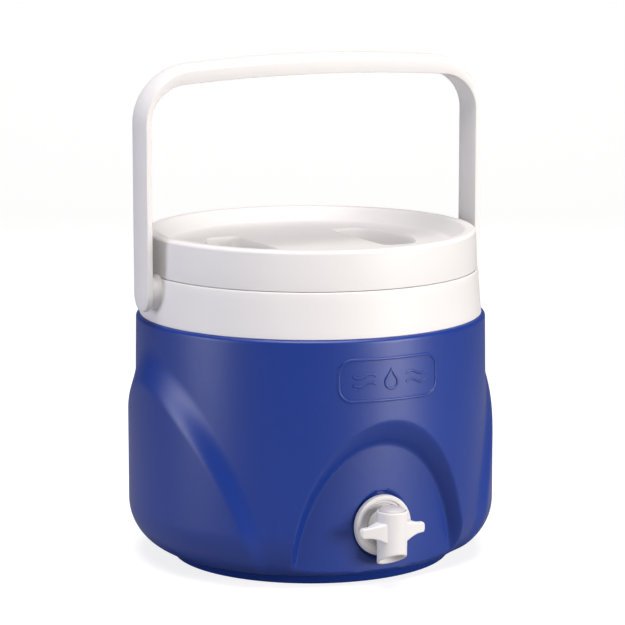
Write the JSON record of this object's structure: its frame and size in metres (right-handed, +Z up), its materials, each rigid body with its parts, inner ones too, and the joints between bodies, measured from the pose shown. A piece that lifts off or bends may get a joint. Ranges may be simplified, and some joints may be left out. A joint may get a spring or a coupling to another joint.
{
  "type": "beverage dispenser",
  "caption": "Insulated round drink jug with a screw lid, a swinging bail handle and a push-button spigot.",
  "frame": {"origin": "centre of the foot ring on the surface the jug stands on", "axes": "+Z up the jug's axis, spigot towards -Y, handle pivots along X"},
  "size_m": [0.294, 0.2913, 0.3975],
  "materials": {
    "blue_shell": "textured satin polyethylene",
    "white_lid": "semi-gloss moulded polypropylene",
    "white_liner": "smooth moulded polyethylene",
    "white_spigot": "glossy moulded polypropylene",
    "stem_plastic": "moulded acetal",
    "foam": "rigid polyurethane foam",
    "seal": "grey silicone",
    "spring_steel": "stainless wire"
  },
  "bodies": {
    "jug": {"body_shell": "blue_shell", "insulation_foam": "foam", "inner_liner": "white_liner", "collar": "white_lid", "foam_fill_plug": "blue_shell", "faucet_body": "white_spigot", "faucet_escutcheon": "white_spigot", "faucet_outer_washer": "seal", "faucet_inner_washer": "seal", "faucet_nut": "white_spigot", "stem_seal": "seal", "faucet_spring": "spring_steel"},
    "handle": {"bail_handle": "white_lid"},
    "lid_seal": {"lid_gasket": "seal"},
    "lid": {"lid_top": "white_lid", "lid_plug": "white_liner", "lid_foam": "foam", "lid_fill_plug": "white_liner"},
    "button": {"push_button": "white_spigot", "valve_stem": "stem_plastic", "valve_cup": "seal"}
  },
  "joints": [
    {"name": "handle_swing", "type": "hinge", "parent": "jug", "child": "handle", "pos_m": [0, 0, 0.217], "axis": [1, 0, 0], "range_deg": [-112, 112]},
    {"name": "lid_lift", "type": "slide", "parent": "jug", "child": "lid_seal", "axis": [0, 0, 1], "range_m": [0, 0.048]},
    {"name": "lid_turn", "type": "hinge", "parent": "lid_seal", "child": "lid", "pos_m": [0, 0, 0.2296], "axis": [0, 0, 1], "range_deg": [0, 720]},
    {"name": "button_press", "type": "slide", "parent": "jug", "child": "button", "axis": [0, 0, -1], "range_m": [0, 0.0045], "stiffness_N_per_m": 900, "springref_m": -0.003, "deforming": ["faucet_spring"]}
  ],
  "couplings": [
    {"joint": "lid_turn", "follows": "lid_lift", "rad_per_m": 261.8}
  ]
}
